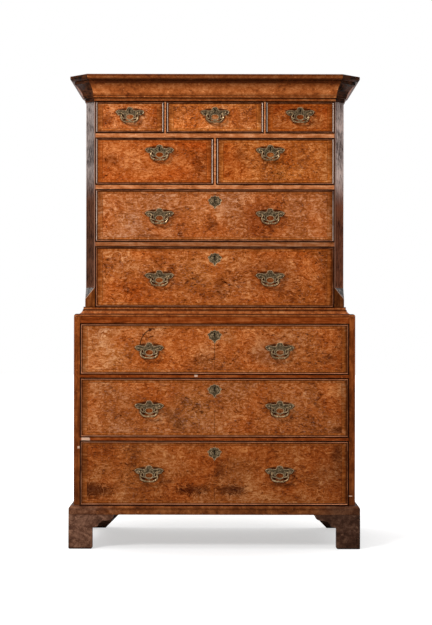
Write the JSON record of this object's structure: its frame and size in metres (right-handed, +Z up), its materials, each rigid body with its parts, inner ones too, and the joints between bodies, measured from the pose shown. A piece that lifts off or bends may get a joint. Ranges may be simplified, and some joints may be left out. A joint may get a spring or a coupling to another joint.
{
  "type": "chest-on-chest",
  "caption": "Walnut chest-on-chest: graduated drawers with pierced brass bail handles, fluted canted corners, moulded cornice and waist, and shaped bracket feet.",
  "frame": {"origin": "on the floor, under the middle of the whole chest", "axes": "+Z up, drawers open towards -Y, +X to the right of someone facing the drawers"},
  "size_m": [1.0736, 0.562, 1.739],
  "materials": {
    "walnut_front": "waxed walnut veneer",
    "walnut_case": "waxed walnut",
    "walnut_dark": "dark waxed walnut",
    "pine": "bare aged softwood",
    "brass": "dull antique brass"
  },
  "bodies": {
    "case": {"front_left_foot": "walnut_dark", "front_right_foot": "walnut_dark", "rear_left_foot": "walnut_dark", "rear_right_foot": "walnut_dark", "base_moulding_and_bottom": "walnut_case", "lower_left_side": "walnut_dark", "lower_right_side": "walnut_dark", "lower_rail_6": "walnut_case", "lower_rail_5": "walnut_case", "lower_top_and_waist_moulding": "walnut_case", "lower_back": "pine", "upper_left_side": "walnut_dark", "upper_right_side": "walnut_dark", "left_fluted_pilaster": "walnut_dark", "right_fluted_pilaster": "walnut_dark", "upper_bottom": "walnut_case", "upper_rail_3": "walnut_case", "upper_divider_frame": "walnut_case", "upper_back": "pine", "cornice": "walnut_case"},
    "drawer_1_left": {"drawer_1_left": "walnut_front", "plate_1_left": "brass"},
    "drawer_1_middle": {"drawer_1_middle": "walnut_front", "plate_1_middle": "brass"},
    "drawer_1_right": {"drawer_1_right": "walnut_front", "plate_1_right": "brass"},
    "drawer_2_left": {"drawer_2_left": "walnut_front", "plate_2_left": "brass"},
    "drawer_2_right": {"drawer_2_right": "walnut_front", "plate_2_right": "brass"},
    "drawer_3": {"drawer_3": "walnut_front", "plate_3_left": "brass", "plate_3_right": "brass"},
    "drawer_4": {"drawer_4": "walnut_front", "plate_4_left": "brass", "plate_4_right": "brass"},
    "drawer_5": {"drawer_5": "walnut_front", "plate_5_left": "brass", "plate_5_right": "brass"},
    "drawer_6": {"drawer_6": "walnut_front", "plate_6_left": "brass", "plate_6_right": "brass"},
    "drawer_7": {"drawer_7": "walnut_front", "plate_7_left": "brass", "plate_7_right": "brass"},
    "bail_1_left": {"bail_1_left": "brass"},
    "bail_1_middle": {"bail_1_middle": "brass"},
    "bail_1_right": {"bail_1_right": "brass"},
    "bail_2_left": {"bail_2_left": "brass"},
    "bail_2_right": {"bail_2_right": "brass"},
    "bail_3_left": {"bail_3_left": "brass"},
    "bail_3_right": {"bail_3_right": "brass"},
    "bail_4_left": {"bail_4_left": "brass"},
    "bail_4_right": {"bail_4_right": "brass"},
    "bail_5_left": {"bail_5_left": "brass"},
    "bail_5_right": {"bail_5_right": "brass"},
    "bail_6_left": {"bail_6_left": "brass"},
    "bail_6_right": {"bail_6_right": "brass"},
    "bail_7_left": {"bail_7_left": "brass"},
    "bail_7_right": {"bail_7_right": "brass"}
  },
  "joints": [
    {"name": "drawer_1_left_slide", "type": "slide", "parent": "case", "child": "drawer_1_left", "axis": [0, -1, 0], "range_m": [0, 0.36]},
    {"name": "drawer_1_middle_slide", "type": "slide", "parent": "case", "child": "drawer_1_middle", "axis": [0, -1, 0], "range_m": [0, 0.36]},
    {"name": "drawer_1_right_slide", "type": "slide", "parent": "case", "child": "drawer_1_right", "axis": [0, -1, 0], "range_m": [0, 0.36]},
    {"name": "drawer_2_left_slide", "type": "slide", "parent": "case", "child": "drawer_2_left", "axis": [0, -1, 0], "range_m": [0, 0.36]},
    {"name": "drawer_2_right_slide", "type": "slide", "parent": "case", "child": "drawer_2_right", "axis": [0, -1, 0], "range_m": [0, 0.36]},
    {"name": "drawer_3_slide", "type": "slide", "parent": "case", "child": "drawer_3", "axis": [0, -1, 0], "range_m": [0, 0.36]},
    {"name": "drawer_4_slide", "type": "slide", "parent": "case", "child": "drawer_4", "axis": [0, -1, 0], "range_m": [0, 0.36]},
    {"name": "drawer_5_slide", "type": "slide", "parent": "case", "child": "drawer_5", "axis": [0, -1, 0], "range_m": [0, 0.4]},
    {"name": "drawer_6_slide", "type": "slide", "parent": "case", "child": "drawer_6", "axis": [0, -1, 0], "range_m": [0, 0.4]},
    {"name": "drawer_7_slide", "type": "slide", "parent": "case", "child": "drawer_7", "axis": [0, -1, 0], "range_m": [0, 0.4]},
    {"name": "bail_1_left_hinge", "type": "hinge", "parent": "drawer_1_left", "child": "bail_1_left", "pos_m": [-0.31488, -0.238, 1.6035], "axis": [-1, 0, 0], "range_deg": [0, 110]},
    {"name": "bail_1_middle_hinge", "type": "hinge", "parent": "drawer_1_middle", "child": "bail_1_middle", "pos_m": [0, -0.238, 1.6035], "axis": [-1, 0, 0], "range_deg": [0, 110]},
    {"name": "bail_1_right_hinge", "type": "hinge", "parent": "drawer_1_right", "child": "bail_1_right", "pos_m": [0.31488, -0.238, 1.6035], "axis": [-1, 0, 0], "range_deg": [0, 110]},
    {"name": "bail_2_left_hinge", "type": "hinge", "parent": "drawer_2_left", "child": "bail_2_left", "pos_m": [-0.205, -0.238, 1.464], "axis": [-1, 0, 0], "range_deg": [0, 110]},
    {"name": "bail_2_right_hinge", "type": "hinge", "parent": "drawer_2_right", "child": "bail_2_right", "pos_m": [0.205, -0.238, 1.464], "axis": [-1, 0, 0], "range_deg": [0, 110]},
    {"name": "bail_3_left_hinge", "type": "hinge", "parent": "drawer_3", "child": "bail_3_left", "pos_m": [-0.205, -0.238, 1.2295], "axis": [-1, 0, 0], "range_deg": [0, 110]},
    {"name": "bail_3_right_hinge", "type": "hinge", "parent": "drawer_3", "child": "bail_3_right", "pos_m": [0.205, -0.238, 1.2295], "axis": [-1, 0, 0], "range_deg": [0, 110]},
    {"name": "bail_4_left_hinge", "type": "hinge", "parent": "drawer_4", "child": "bail_4_left", "pos_m": [-0.205, -0.238, 1.0002], "axis": [-1, 0, 0], "range_deg": [0, 110]},
    {"name": "bail_4_right_hinge", "type": "hinge", "parent": "drawer_4", "child": "bail_4_right", "pos_m": [0.205, -0.238, 1.0002], "axis": [-1, 0, 0], "range_deg": [0, 110]},
    {"name": "bail_5_left_hinge", "type": "hinge", "parent": "drawer_5", "child": "bail_5_left", "pos_m": [-0.24, -0.276, 0.73375], "axis": [-1, 0, 0], "range_deg": [0, 110]},
    {"name": "bail_5_right_hinge", "type": "hinge", "parent": "drawer_5", "child": "bail_5_right", "pos_m": [0.24, -0.276, 0.73375], "axis": [-1, 0, 0], "range_deg": [0, 110]},
    {"name": "bail_6_left_hinge", "type": "hinge", "parent": "drawer_6", "child": "bail_6_left", "pos_m": [-0.24, -0.276, 0.5201], "axis": [-1, 0, 0], "range_deg": [0, 110]},
    {"name": "bail_6_right_hinge", "type": "hinge", "parent": "drawer_6", "child": "bail_6_right", "pos_m": [0.24, -0.276, 0.5201], "axis": [-1, 0, 0], "range_deg": [0, 110]},
    {"name": "bail_7_left_hinge", "type": "hinge", "parent": "drawer_7", "child": "bail_7_left", "pos_m": [-0.24, -0.276, 0.28175], "axis": [-1, 0, 0], "range_deg": [0, 110]},
    {"name": "bail_7_right_hinge", "type": "hinge", "parent": "drawer_7", "child": "bail_7_right", "pos_m": [0.24, -0.276, 0.28175], "axis": [-1, 0, 0], "range_deg": [0, 110]}
  ]
}
